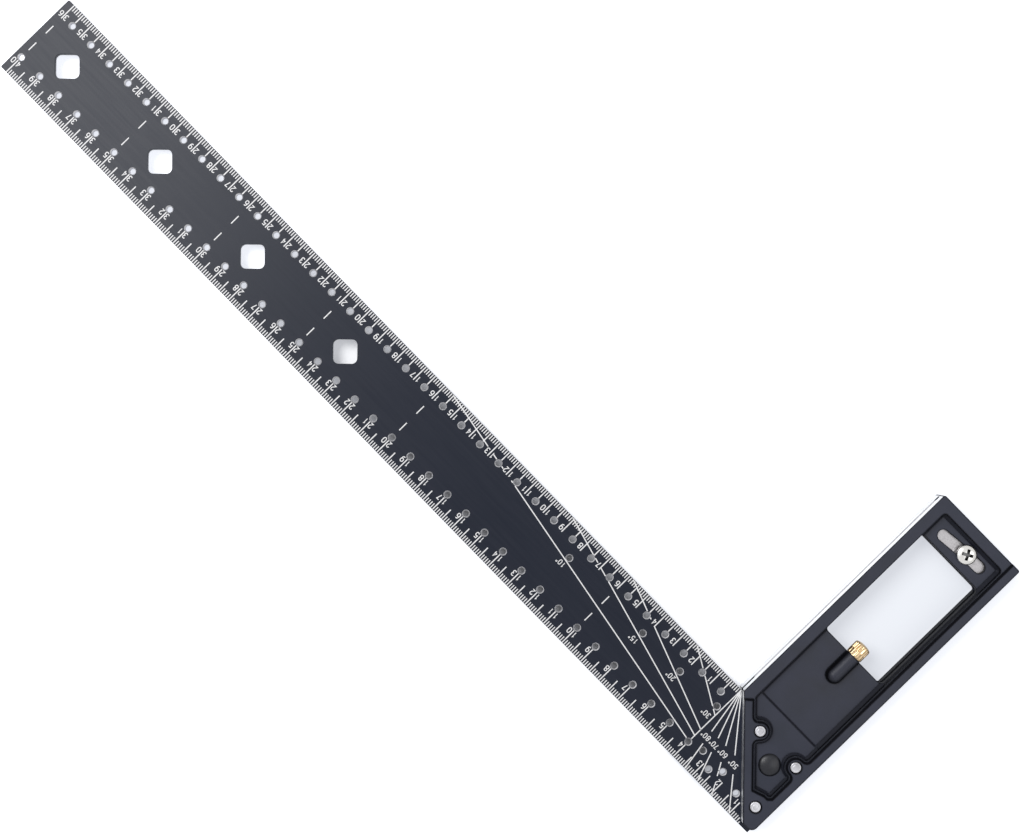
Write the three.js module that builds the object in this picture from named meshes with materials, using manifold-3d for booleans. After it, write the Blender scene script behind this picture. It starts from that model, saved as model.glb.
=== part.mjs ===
// Try and mitre square with a pencil-hole blade, a swing-out support ledge and a stowed scriber.
// Millimetres. The heel is the drawing origin: +X along the blade, -Y down the stock,
// +Z out of the printed face. The finished group is moved to the middle of its own base.
import * as THREE from "three";
import Module from "manifold-3d";

const wasm = await Module();
wasm.setup();

// Clearances
const seatGap = 0.1;
const fitGap = 0.15;
const overshoot = 2;
const weldTolerance = 0.0007;

// Stock: the casting that runs along the edge of the work
const stockWidth = 40;
const stockEnd = 141.5;
const stockThickness = 12;
const heelInset = 1.5;
const heelFlat = 5;
const heelRadius = 2.5;
const farCornerRadius = 0.9;
const crispRadius = 0.6;
const stockEdgeChamfer = 0.3;
const railWidth = 4.6;
const innerWallWidth = 4.8;
const farWallWidth = 4.5;
const bandWidth = 4.45;
const rimStepDepth = 1;
const rimStepWidth = 0.7;
const rimLandWidth = 0.6;
const panelThickness = 4.8;
const nearPanelThickness = 6;
const floorFillet = 1.2;
const nearFloorFillet = 0.8;
const pocketRadius = 1.4;
const nearPocketStart = 13.8;
const nearPocketDrop = 1.5;
const nearPocketFlat = 1.4;
const floorStepPastBlade = 4.1;
const lobeRadius = 4.3;
const lobeFillet = 1.2;

// Window and slot through the stock's panel
const windowStart = 74.8;
const windowFarBar = 15.8;
const windowSideShelf = 0.4;
const windowRadius = 2;
const slotWidth = 4.4;
const slotNearRail = 10.8;
const slotTravel = 18.1;
const backSlotWidth = 8;

// Blade
const bladeLength = 403;
const bladeWidth = 36;
const bladeThickness = 2;
const bladeCornerRadius = 0.6;
const slitPlay = 0.1;
const slitEndWall = 1.2;

// Holes along the blade's two scales, one a centimetre apart
const pencilHoleRadius = 1.5;
const holePitch = 10;
const outerRowDepth = 8;
const innerRowFirst = 5;
const innerRowHeight = 6;
const rowEndMargin = 2.5;

// Loose holes near the heel, measured back from the stock's face and in from the outer edge
const hole50Back = 26.5;
const hole50Depth = 7.3;
const hole60Back = 17.2;
const hole60Depth = 9.4;
const hole70Back = 12.7;
const hole70Depth = 6.2;
const hole80Back = 6.3;
const hole80Depth = 9.6;

// Marking holes of the small angles, measured from the stock's face and up from the inner edge
const hole30Along = 2;
const hole30Height = 11;
const hole20Along = 21.1;
const hole15Along = 41.2;
const hole10Along = 80.8;
const smallAngleHoleHeight = 11.8;

// Square holes, standing on a corner
const squareHoleSide = 9.2;
const squareHoleRadius = 2.1;
const squareHoleFromTip = 17.5;
const squareHolePitch = 50;
const squareHoleCount = 4;

// Rivets through stock and blade
const rivetRadius = 2.15;
const rivetRailInset = 6;
const rivetHeelInset = 9.2;
const rivetRow = 30.3;
const rivetMitreShare = 0.625;
const rivetSink = 0.1;
const rivetEndChamfer = 0.25;

// Pivot of the ledge
const pivotAlong = 12.9;
const pivotDepth = 23.9;
const pinRadius = 2;
const pinHeadRadius = 4.3;
const pinHeadRise = 1.5;
const pinHeadRim = 0.5;
const pinTail = 0.9;
const ringThickness = 0.6;
const ringRadius = 3.6;
const ringGrip = 0.05;
const washerThickness = 0.5;
const washerRadius = 4.2;

// Support ledge, drawn closed
const ledgeThickness = 2;
const eyeRadius = 4.5;
const neckLeft = 3.1;
const neckRight = 3.4;
const neckPastBlade = 3.5;
const shoulderPastBlade = 5.6;
const plateRailGap = 2;
const plateToWindow = 1.9;
const ledgeBarWidth = 3.6;
const windowToTab = 2.3;
const tabEndGap = 0.5;
const tabRailGap = 0.4;
const ledgeFillet = 2.5;
const tabRadius = 5;
const ledgeNotchPlay = 0.6;
const ledgeSwingRoom = 1.6;

// Screw and nut at the ledge's far end
const screwAlong = 17.8;
const screwFarInset = 9.55;
const screwRadius = 2;
const screwTail = 0.6;
const screwHeadRadius = 3.8;
const screwHeadRise = 2.2;
const screwHeadRim = 0.9;
const nutRadius = 3.5;
const nutHeight = 2.6;
const nutCollarRadius = 2.8;
const nutCollarHeight = 1.4;

// Scriber, its boss in the stock and its sleeve
const scriberAlong = 20.1;
const bossRadius = 3.3;
const bossLength = 13.2;
const scriberAboveFloor = 0.2;
const scriberHeadRadius = 3.35;
const scriberHeadLength = 6.1;
const knurlBandLength = 2.2;
const knurlRingLength = 0.6;
const knurlDepth = 0.35;
const headChamfer = 0.8;
const needleRadius = 0.55;
const needleLength = 11.4;
const needlePointLength = 4;
const needleInHead = 5;
const sleeveRadius = 1.1;
const sleeveLength = 7.5;
const needleBoreEndGap = 0.4;

// Facet counts
const smallRound = 10;
const pinRound = 20;
const bossRound = 24;
const arcStep = Math.PI / 10;
const domeSteps = 4;
const fluteCount = 18;

// Levels up through the thickness
const midHeight = stockThickness / 2;
const frontFloor = midHeight + panelThickness / 2;
const backFloor = midHeight - panelThickness / 2;
const nearFrontFloor = midHeight + nearPanelThickness / 2;
const nearBackFloor = midHeight - nearPanelThickness / 2;
const bladeLow = midHeight - bladeThickness / 2;
const bladeHigh = midHeight + bladeThickness / 2;
const ledgeLow = midHeight - ledgeThickness / 2;
const ledgeHigh = midHeight + ledgeThickness / 2;
const slitLow = bladeLow - slitPlay;
const slitHigh = bladeHigh + slitPlay;
const scriberHeight = frontFloor + scriberAboveFloor;

// Lines of the stock's plan
const mitreSum = heelFlat - heelInset;
const bandSum = mitreSum - bandWidth * Math.SQRT2;
const innerWallLine = stockWidth - innerWallWidth;
const farWallLine = stockEnd - farWallWidth;
const rivetInner = stockWidth * rivetMitreShare;
const windowRailSide = railWidth + windowSideShelf;
const windowEnd = stockEnd - windowFarBar;
const screwDepth = stockEnd - screwFarInset;
const floorStepAt = bladeWidth + floorStepPastBlade;
const slitRailSide = railWidth + slitPlay;
const slitEnd = stockEnd - slitEndWall;

// Lines of the blade and the ledge
const scaleZero = stockWidth;
const outerRowCount = Math.floor((bladeLength - scaleZero - rowEndMargin) / holePitch) + 1;
const innerRowCount = Math.floor((bladeLength - scaleZero - innerRowFirst - rowEndMargin) / holePitch) + 1;
const neckBottom = bladeWidth + neckPastBlade;
const shoulderTop = bladeWidth + shoulderPastBlade;
const plateEnd = windowStart - plateToWindow;
const tabStart = windowEnd + windowToTab;

const heelHoles = [
  { back: hole50Back, depth: hole50Depth },
  { back: hole60Back, depth: hole60Depth },
  { back: hole70Back, depth: hole70Depth },
  { back: hole80Back, depth: hole80Depth },
];

const angleHoles = [
  { along: hole30Along, height: hole30Height },
  { along: hole20Along, height: smallAngleHoleHeight },
  { along: hole15Along, height: smallAngleHoleHeight },
  { along: hole10Along, height: smallAngleHoleHeight },
];

const rivetSpots = [
  { name: "blade_rivet_heel", x: rivetRailInset, y: -rivetHeelInset },
  { name: "blade_rivet_rail", x: rivetRailInset, y: -rivetRow },
  { name: "blade_rivet_mitre", x: rivetInner, y: -rivetRow },
];

// Finishes
const finishes = {
  castPaint: { color: 0x33353d, roughness: 0.55, metalness: 0.2 },
  bladeCoat: { color: 0x2a2d36, roughness: 0.4, metalness: 0.35 },
  bareSteel: { color: 0xc9ccd0, roughness: 0.35, metalness: 0.9 },
  rivetMetal: { color: 0xd2d4d6, roughness: 0.3, metalness: 0.9 },
  blackOxide: { color: 0x25272b, roughness: 0.4, metalness: 0.6 },
  brass: { color: 0xd0a560, roughness: 0.3, metalness: 0.9 },
};

// A closed body for joining and cutting, from any geometry.
function solidOf(geometry) {
  const flat = geometry.index ? geometry.toNonIndexed() : geometry;
  const vertProperties = new Float32Array(flat.attributes.position.array);
  const triVerts = Uint32Array.from({ length: flat.attributes.position.count }, (_, i) => i);
  const mesh = new wasm.Mesh({ numProp: 3, vertProperties, triVerts, tolerance: weldTolerance });
  mesh.merge();
  return new wasm.Manifold(mesh);
}

// A named mesh of a finished body.
function meshOf(name, solid, finish) {
  const found = solid.getMesh();
  const indexed = new THREE.BufferGeometry();
  indexed.setAttribute("position", new THREE.BufferAttribute(found.vertProperties, 3));
  indexed.setIndex(new THREE.BufferAttribute(found.triVerts, 1));
  const geometry = indexed.toNonIndexed();
  geometry.computeVertexNormals();
  const mesh = new THREE.Mesh(geometry, new THREE.MeshStandardMaterial(finish));
  mesh.name = name;
  return mesh;
}

// Points of an arc from one direction to another.
function arcPoints(centre, radius, from, to) {
  const steps = Math.max(2, Math.ceil(Math.abs(to - from) / arcStep));
  const points = [];
  for (let i = 0; i <= steps; i += 1) {
    const angle = from + ((to - from) * i) / steps;
    const x = centre.x + radius * Math.cos(angle);
    const y = centre.y + radius * Math.sin(angle);
    points.push(new THREE.Vector2(x, y));
  }
  return points;
}

// A corner of an outline, with the radius that rounds it.
function corner(x, y, radius = 0) {
  return { point: new THREE.Vector2(x, y), radius };
}

// The points that round one corner between its two neighbours.
function roundedCorner(before, here, after) {
  if (here.radius === 0) return [here.point.clone()];
  const back = before.point.clone().sub(here.point).normalize();
  const on = after.point.clone().sub(here.point).normalize();
  const half = Math.acos(THREE.MathUtils.clamp(back.dot(on), -1, 1)) / 2;
  const reach = here.radius / Math.tan(half);
  const middle = back.clone().add(on).normalize();
  const centre = here.point.clone().addScaledVector(middle, here.radius / Math.sin(half));
  const start = here.point.clone().addScaledVector(back, reach).sub(centre);
  const end = here.point.clone().addScaledVector(on, reach).sub(centre);
  const from = start.angle();
  let to = end.angle();
  if (to - from > Math.PI) to -= 2 * Math.PI;
  if (from - to > Math.PI) to += 2 * Math.PI;
  return arcPoints(centre, here.radius, from, to);
}

// A closed outline from corners, each rounded by its own radius.
function outlineOf(corners) {
  const points = corners.flatMap((here, i) => {
    const before = corners[(i + corners.length - 1) % corners.length];
    const after = corners[(i + 1) % corners.length];
    return roundedCorner(before, here, after);
  });
  return new THREE.Shape(points);
}

// A rounded rectangle between two opposite corners.
function rectangle(left, low, right, high, radius = 0) {
  return outlineOf([
    corner(left, low, radius),
    corner(right, low, radius),
    corner(right, high, radius),
    corner(left, high, radius),
  ]);
}

// The screw's slot of some width, bent along the screw's way about the pivot.
function slotShape(width) {
  const pivot = new THREE.Vector2(pivotAlong, -pivotDepth);
  const reach = pivot.distanceTo(new THREE.Vector2(screwAlong, -screwDepth));
  const radius = width / 2;
  const angleAt = (x) => -Math.acos((x - pivotAlong) / reach);
  const start = angleAt(slotNearRail);
  const end = angleAt(slotNearRail + slotTravel);
  const centreAt = (angle) =>
    new THREE.Vector2(reach * Math.cos(angle), reach * Math.sin(angle)).add(pivot);
  return smoothShape([
    ...arcPoints(pivot, reach + radius, start, end),
    ...arcPoints(centreAt(end), radius, end, end + Math.PI),
    ...arcPoints(pivot, reach - radius, end, start),
    ...arcPoints(centreAt(start), radius, start + Math.PI, start + 2 * Math.PI),
  ]);
}

// A flat plate of an outline between two levels.
function plate(shape, low, high) {
  const geometry = new THREE.ExtrudeGeometry(shape, { depth: high - low, bevelEnabled: false });
  return solidOf(geometry.translate(0, 0, low));
}

// A plate whose two faces are drawn in by a chamfer all round.
function chamferedPlate(shape, low, high, chamfer) {
  const geometry = new THREE.ExtrudeGeometry(shape, {
    depth: high - low - 2 * chamfer,
    bevelThickness: chamfer,
    bevelSize: chamfer,
    bevelOffset: -chamfer,
    bevelSegments: 1,
  });
  return solidOf(geometry.translate(0, 0, low + chamfer));
}

// A body turned about a line along Z, from half-profile points of radius and height.
function turned(profile, x, y, round) {
  const points = profile.map(([radius, height]) => new THREE.Vector2(radius, height));
  const geometry = new THREE.LatheGeometry(points, round);
  return solidOf(geometry.rotateX(Math.PI / 2).translate(x, y, 0));
}

// The same body, its axis laid along -Y from the window's near edge.
function turnedAlongStock(profile, round) {
  const points = profile.map(([radius, height]) => new THREE.Vector2(radius, height));
  const geometry = new THREE.LatheGeometry(points, round);
  return solidOf(geometry.translate(scriberAlong, -windowStart, scriberHeight));
}

// A round bore along Z.
function bore(x, y, radius, low, high, round = pinRound) {
  return turned([[0, low], [radius, low], [radius, high], [0, high]], x, y, round);
}

// Half-profile points of a shallow dome from its rim to its crown.
function domeProfile(rimRadius, rimHeight, rise) {
  const points = [];
  for (let i = 0; i <= domeSteps; i += 1) {
    const angle = ((Math.PI / 2) * i) / domeSteps;
    points.push([rimRadius * Math.cos(angle), rimHeight + rise * Math.sin(angle)]);
  }
  points[domeSteps][0] = 0;
  return points;
}

// A wall line's detour round a rivet's lobe, with a fillet each side.
// The line runs along `travel`, and `inward` points from the wall into the pocket.
function lobeDetour(onLine, travel, inward, centre) {
  const offset = centre.clone().sub(onLine);
  const along = offset.dot(travel);
  const height = offset.dot(inward);
  const reach = lobeRadius + lobeFillet;
  const half = Math.sqrt(reach * reach - (lobeFillet - height) * (lobeFillet - height));
  const filletCentre = (side) =>
    onLine
      .clone()
      .addScaledVector(travel, along + side * half)
      .addScaledVector(inward, lobeFillet);
  const first = filletCentre(-1);
  const last = filletCentre(1);
  const wallAngle = inward.clone().negate().angle();
  const towards = (from, to) => to.clone().sub(from).angle();
  return [
    ...sweep(first, lobeFillet, wallAngle, towards(first, centre)),
    ...sweep(centre, lobeRadius, towards(centre, first), inward.angle()),
    ...sweep(centre, lobeRadius, inward.angle(), towards(centre, last)).slice(1),
    ...sweep(last, lobeFillet, towards(last, centre), wallAngle),
  ];
}

// An outline with the points that repeat their neighbour left out.
function smoothShape(points) {
  const kept = points.filter((here, i) => {
    const before = points[(i + points.length - 1) % points.length];
    return here.distanceTo(before) > weldTolerance;
  });
  return new THREE.Shape(kept);
}

// The shorter way round between two directions.
function sweep(centre, radius, from, to) {
  const turn = THREE.MathUtils.euclideanModulo(to - from + Math.PI, 2 * Math.PI) - Math.PI;
  return arcPoints(centre, radius, from, from + turn);
}

// Wall of the near pocket on the mitre's side, with the lobe of the inner rivet.
function diagonalWall() {
  const travel = new THREE.Vector2(-1, 1).normalize();
  const inward = new THREE.Vector2(-1, -1).normalize();
  const onLine = new THREE.Vector2(innerWallLine, bandSum - innerWallLine);
  return lobeDetour(onLine, travel, inward, new THREE.Vector2(rivetInner, -rivetRow));
}

// Wall of the near pocket on the rail's side, with the lobe of the rail rivet.
function railWall() {
  const travel = new THREE.Vector2(0, -1);
  const inward = new THREE.Vector2(1, 0);
  const onLine = new THREE.Vector2(railWidth, 0);
  return lobeDetour(onLine, travel, inward, new THREE.Vector2(rivetRailInset, -rivetRow));
}

// The slanted near end of the pocket, between the two walls.
function nearEnd() {
  const low = nearPocketStart + nearPocketDrop;
  const roundFrom = railWidth + pocketRadius / 2;
  return [
    new THREE.Vector2(bandSum + nearPocketStart, -nearPocketStart),
    new THREE.Vector2(roundFrom + nearPocketFlat, -low),
    new THREE.Vector2(roundFrom, -low),
    new THREE.Vector2(railWidth, -low - pocketRadius / 2),
  ];
}

// Outline of the whole pocket between rail, inner wall and far wall.
function pocketOutline() {
  const inner = [
    corner(railWidth, -farWallLine, pocketRadius),
    corner(innerWallLine, -farWallLine, pocketRadius),
  ];
  const start = { point: new THREE.Vector2(railWidth, -floorStepAt) };
  const end = { point: new THREE.Vector2(innerWallLine, bandSum - innerWallLine) };
  return smoothShape([
    ...roundedCorner(start, inner[0], inner[1]),
    ...roundedCorner(inner[0], inner[1], end),
    end.point,
    ...diagonalWall(),
    ...nearEnd(),
    ...railWall(),
  ]);
}

// Outline of all that lies under the high rim: the pocket, the inner wall and the far wall.
function lowRimOutline() {
  const outX = stockWidth + overshoot;
  const outY = -stockEnd - overshoot;
  const bandEnd = bandSum - innerWallLine;
  return smoothShape([
    new THREE.Vector2(railWidth, outY),
    new THREE.Vector2(outX, outY),
    new THREE.Vector2(outX, bandEnd + outX - innerWallLine),
    new THREE.Vector2(innerWallLine, bandEnd),
    ...diagonalWall(),
    ...nearEnd(),
    ...railWall(),
  ]);
}

// The step down from the high rim: a land beside the pocket and a chamfer up to the rim.
function rimCut() {
  const geometry = new THREE.ExtrudeGeometry(lowRimOutline(), {
    depth: overshoot,
    bevelThickness: rimStepDepth,
    bevelSize: rimStepWidth,
    bevelOffset: rimLandWidth,
    bevelSegments: 1,
  });
  return solidOf(geometry.translate(0, 0, stockThickness));
}

// Front and back pockets, each with a shallower floor near the blade.
function pocketCuts() {
  const whole = pocketOutline();
  const main = rectangle(railWidth, -farWallLine, innerWallLine, -floorStepAt, pocketRadius);
  const top = stockThickness + overshoot;
  return [
    chamferedPlate(whole, nearFrontFloor, top, nearFloorFillet),
    chamferedPlate(main, frontFloor, top, floorFillet),
    chamferedPlate(whole, -overshoot, nearBackFloor, nearFloorFillet),
    chamferedPlate(main, -overshoot, backFloor, floorFillet),
  ];
}

// Window, screw slot and the wider slot behind it.
function panelCuts() {
  const window = rectangle(windowRailSide, -windowEnd, innerWallLine, -windowStart, windowRadius);
  return [
    plate(window, -overshoot, stockThickness + overshoot),
    plate(slotShape(slotWidth), midHeight, stockThickness),
    plate(slotShape(backSlotWidth), 0, midHeight),
  ];
}

// The sawn slit for blade and ledge, right through beside the blade and closed along the rail.
function slitCut() {
  const outX = stockWidth + overshoot;
  const bladeSide = -bladeWidth - slitPlay * 2;
  const outline = outlineOf([
    corner(-overshoot, overshoot),
    corner(-overshoot, bladeSide),
    corner(slitRailSide, bladeSide),
    corner(slitRailSide, -slitEnd),
    corner(outX, -slitEnd),
    corner(outX, overshoot),
  ]);
  return plate(outline, slitLow, slitHigh);
}

// The scriber's boss: half a round bar on the floor, its near end a dome.
function scriberBoss() {
  const straight = bossLength - bossRadius;
  const profile = [[0, 0], [bossRadius, 0], ...domeProfile(bossRadius, straight, bossRadius)];
  const bar = turnedAlongStock(profile, bossRound);
  const under = rectangle(0, -stockEnd, stockWidth, 0);
  return bar.subtract(plate(under, -overshoot, frontFloor - floorFillet));
}

// Bore for the sleeve and the needle.
function scriberBore() {
  const deep = needleLength + needleBoreEndGap;
  const wide = sleeveRadius + fitGap;
  return turnedAlongStock([[0, -overshoot], [wide, -overshoot], [wide, deep], [0, deep]], pinRound);
}

function makeStock() {
  const outline = outlineOf([
    corner(0, -heelInset, heelRadius),
    corner(0, -stockEnd, farCornerRadius),
    corner(stockWidth, -stockEnd, farCornerRadius),
    corner(stockWidth, mitreSum - stockWidth, crispRadius),
    corner(heelFlat, -heelInset, crispRadius),
  ]);
  let solid = chamferedPlate(outline, 0, stockThickness, stockEdgeChamfer);
  for (const cut of [rimCut(), ...pocketCuts()]) solid = solid.subtract(cut);
  solid = solid.add(scriberBoss());
  for (const cut of [...panelCuts(), slitCut(), scriberBore()]) solid = solid.subtract(cut);
  for (const spot of rivetSpots) {
    solid = solid.subtract(bore(spot.x, spot.y, rivetRadius + fitGap, -overshoot, stockThickness + overshoot));
  }
  const pinBore = bore(pivotAlong, -pivotDepth, pinRadius + fitGap, -overshoot, stockThickness + overshoot);
  return meshOf("stock", solid.subtract(pinBore), finishes.castPaint);
}

// Round hole in a flat shape.
function holePath(x, y, radius) {
  const points = [];
  for (let i = 0; i < smallRound; i += 1) {
    const angle = (2 * Math.PI * i) / smallRound;
    points.push(new THREE.Vector2(x + radius * Math.cos(angle), y + radius * Math.sin(angle)));
  }
  return new THREE.Path(points);
}

// All the round holes of the blade: two rows and the loose ones.
function pencilHoles() {
  const holes = [];
  for (let i = 0; i < outerRowCount; i += 1) {
    holes.push(holePath(scaleZero + i * holePitch, -outerRowDepth, pencilHoleRadius));
  }
  for (let i = 0; i < innerRowCount; i += 1) {
    const x = scaleZero + innerRowFirst + i * holePitch;
    holes.push(holePath(x, innerRowHeight - bladeWidth, pencilHoleRadius));
  }
  for (const spot of heelHoles) {
    holes.push(holePath(scaleZero - spot.back, -spot.depth, pencilHoleRadius));
  }
  for (const spot of angleHoles) {
    holes.push(holePath(scaleZero + spot.along, spot.height - bladeWidth, pencilHoleRadius));
  }
  return holes;
}

// The square holes, each turned on its corner.
function squareHoles() {
  const reach = squareHoleSide / Math.SQRT2;
  const y = -bladeWidth / 2;
  const holes = [];
  for (let i = 0; i < squareHoleCount; i += 1) {
    const x = bladeLength - squareHoleFromTip - i * squareHolePitch;
    holes.push(
      outlineOf([
        corner(x - reach, y, squareHoleRadius),
        corner(x, y - reach, squareHoleRadius),
        corner(x + reach, y, squareHoleRadius),
        corner(x, y + reach, squareHoleRadius),
      ]),
    );
  }
  return holes;
}

// Room in the blade's tang for the ledge's eye and neck to swing in.
function ledgeNotch() {
  const room = eyeRadius + ledgeNotchPlay;
  const low = slitLow - seatGap;
  const high = slitHigh + seatGap;
  const neck = outlineOf([
    corner(pivotAlong - neckLeft - ledgeNotchPlay, -bladeWidth - overshoot),
    corner(pivotAlong + neckRight + ledgeNotchPlay + ledgeSwingRoom, -bladeWidth - overshoot),
    corner(pivotAlong + room, -pivotDepth),
    corner(pivotAlong - neckLeft - ledgeNotchPlay, -pivotDepth),
  ]);
  return plate(neck, low, high).add(bore(pivotAlong, -pivotDepth, room, low, high));
}

function makeBlade() {
  const shape = rectangle(0, -bladeWidth, bladeLength, 0, bladeCornerRadius);
  shape.holes.push(...pencilHoles(), ...squareHoles());
  let solid = plate(shape, bladeLow, bladeHigh).subtract(ledgeNotch());
  for (const spot of rivetSpots) {
    solid = solid.subtract(bore(spot.x, spot.y, rivetRadius + fitGap, 0, stockThickness));
  }
  return meshOf("blade", solid, finishes.bladeCoat);
}

function makeRivet(spot) {
  const high = stockThickness - rivetSink;
  const narrow = rivetRadius - rivetEndChamfer;
  const profile = [
    [0, rivetSink],
    [narrow, rivetSink],
    [rivetRadius, rivetSink + rivetEndChamfer],
    [rivetRadius, high - rivetEndChamfer],
    [narrow, high],
    [0, high],
  ];
  return meshOf(spot.name, turned(profile, spot.x, spot.y, pinRound), finishes.rivetMetal);
}

// Plan of the ledge: eye, neck, plate under the panel, bar beside the window, tab under the slot.
function ledgeOutline() {
  const plateLeft = railWidth + plateRailGap;
  const tabLeft = slitRailSide + tabRailGap;
  const tabEnd = slitEnd - tabEndGap;
  const barLeft = stockWidth - ledgeBarWidth;
  return outlineOf([
    corner(pivotAlong - neckLeft, -pivotDepth),
    corner(pivotAlong - neckLeft, -neckBottom, ledgeFillet),
    corner(plateLeft, -shoulderTop, ledgeFillet),
    corner(plateLeft, -plateEnd, ledgeFillet),
    corner(barLeft, -plateEnd, ledgeFillet),
    corner(barLeft, -tabStart, ledgeFillet),
    corner(tabLeft, -tabStart, ledgeFillet),
    corner(tabLeft, -tabEnd, tabRadius),
    corner(stockWidth, -tabEnd, ledgeFillet),
    corner(stockWidth, -shoulderTop, ledgeFillet),
    corner(pivotAlong + neckRight, -neckBottom, ledgeFillet),
    corner(pivotAlong + neckRight, -pivotDepth),
  ]);
}

function makeLedge() {
  const eye = bore(pivotAlong, -pivotDepth, eyeRadius, ledgeLow, ledgeHigh, bossRound);
  const solid = plate(ledgeOutline(), ledgeLow, ledgeHigh)
    .add(eye)
    .subtract(bore(pivotAlong, -pivotDepth, pinRadius + fitGap, 0, stockThickness))
    .subtract(bore(screwAlong, -screwDepth, nutCollarRadius + fitGap, 0, stockThickness));
  return meshOf("support_ledge", solid, finishes.bareSteel);
}

// Washer and retaining ring sit in the back pocket, under the shallower floor.
const washerHigh = nearBackFloor - seatGap;
const washerLow = washerHigh - washerThickness;
const ringHigh = washerLow - seatGap;
const ringLow = ringHigh - ringThickness;

function makePivotPin() {
  const rim = nearFrontFloor + seatGap;
  const groove = pinRadius - ringThickness / 2;
  const profile = [
    [0, ringLow - pinTail],
    [groove, ringLow - pinTail],
    [pinRadius, ringLow - pinTail + ringThickness / 2],
    [pinRadius, ringLow - seatGap],
    [groove, ringLow - seatGap],
    [groove, ringHigh + seatGap / 2],
    [pinRadius, ringHigh + seatGap / 2],
    [pinRadius, rim],
    [pinHeadRadius, rim],
    ...domeProfile(pinHeadRadius, rim + pinHeadRim, pinHeadRise - pinHeadRim),
  ];
  return meshOf("ledge_pivot_pin", turned(profile, pivotAlong, -pivotDepth, bossRound), finishes.blackOxide);
}

// A flat ring about the pivot.
function pivotRing(name, inner, outer, low, high) {
  const ring = bore(pivotAlong, -pivotDepth, outer, low, high);
  const solid = ring.subtract(bore(pivotAlong, -pivotDepth, inner, low - overshoot, high + overshoot));
  return meshOf(name, solid, finishes.blackOxide);
}

function makeScrew() {
  const seat = frontFloor + seatGap;
  const tail = ledgeLow - nutHeight - screwTail;
  const profile = [
    [0, tail],
    [screwRadius - screwTail / 2, tail],
    [screwRadius, tail + screwTail],
    [screwRadius, seat],
    [screwHeadRadius, seat],
    ...domeProfile(screwHeadRadius, seat + screwHeadRim, screwHeadRise - screwHeadRim),
  ];
  return meshOf("ledge_screw", turned(profile, screwAlong, -screwDepth, pinRound), finishes.bareSteel);
}

function makeNut() {
  const high = ledgeLow - seatGap / 2;
  const low = high - nutHeight;
  const profile = [
    [screwRadius + fitGap, low],
    [nutRadius, low],
    [nutRadius, high],
    [nutCollarRadius, high],
    [nutCollarRadius, high + nutCollarHeight],
    [screwRadius + fitGap, high + nutCollarHeight],
    [screwRadius + fitGap, low],
  ];
  return meshOf("ledge_press_nut", turned(profile, screwAlong, -screwDepth, pinRound), finishes.bareSteel);
}

// One fluted band of the scriber's head, between two distances past the window's edge.
function knurlBand(near, far) {
  const points = [];
  for (let i = 0; i < 2 * fluteCount; i += 1) {
    const angle = (Math.PI * i) / fluteCount;
    const radius = i % 2 === 0 ? scriberHeadRadius : scriberHeadRadius - knurlDepth;
    points.push(new THREE.Vector2(radius * Math.cos(angle), radius * Math.sin(angle)));
  }
  const options = { depth: far - near, bevelEnabled: false };
  const geometry = new THREE.ExtrudeGeometry(new THREE.Shape(points), options);
  geometry.rotateX(Math.PI / 2);
  return solidOf(geometry.translate(scriberAlong, -windowStart - near, scriberHeight));
}

function makeScriberHead() {
  const core = scriberHeadRadius - knurlDepth - fitGap;
  const far = scriberHeadLength;
  const firstBand = seatGap + headChamfer / 2;
  const secondBand = firstBand + knurlBandLength + knurlRingLength;
  const profile = [
    [0, -far],
    [core - headChamfer, -far],
    [core, headChamfer - far],
    [core, -seatGap],
    [0, -seatGap],
  ];
  const hole = needleRadius + fitGap;
  const needleHole = [[0, -needleInHead], [hole, -needleInHead], [hole, overshoot], [0, overshoot]];
  const solid = turnedAlongStock(profile, bossRound)
    .add(knurlBand(firstBand, firstBand + knurlBandLength))
    .add(knurlBand(secondBand, secondBand + knurlBandLength))
    .subtract(turnedAlongStock(needleHole, pinRound));
  return meshOf("scriber_head", solid, finishes.brass);
}

function makeNeedle() {
  const back = seatGap - needleInHead;
  const pointStart = needleLength - needlePointLength;
  const profile = [[0, back], [needleRadius, back], [needleRadius, pointStart], [0, needleLength]];
  return meshOf("scriber_needle", turnedAlongStock(profile, pinRound), finishes.bareSteel);
}

function makeSleeve() {
  const inner = needleRadius + fitGap;
  const profile = [
    [inner, seatGap],
    [sleeveRadius, seatGap],
    [sleeveRadius, sleeveLength],
    [inner, sleeveLength],
    [inner, seatGap],
  ];
  return meshOf("scriber_sleeve", turnedAlongStock(profile, pinRound), finishes.brass);
}

const square = new THREE.Group();
square.name = "mitre_square";
square.add(makeStock(), makeBlade(), ...rivetSpots.map(makeRivet), makeLedge(), makePivotPin());
square.add(pivotRing("pivot_washer", pinRadius + fitGap, washerRadius, washerLow, washerHigh));
const ringInner = pinRadius - ringThickness / 2 + ringGrip;
square.add(pivotRing("pivot_retaining_ring", ringInner, ringRadius, ringLow, ringHigh));
square.add(makeScrew(), makeNut(), makeScriberHead(), makeNeedle(), makeSleeve());
square.position.set(-bladeLength / 2, stockEnd / 2, 0);

const part = new THREE.Group();
part.name = "part";
part.add(square);

export default part;
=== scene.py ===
import math

import bmesh
import bpy
from mathutils import Matrix, Vector


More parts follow.
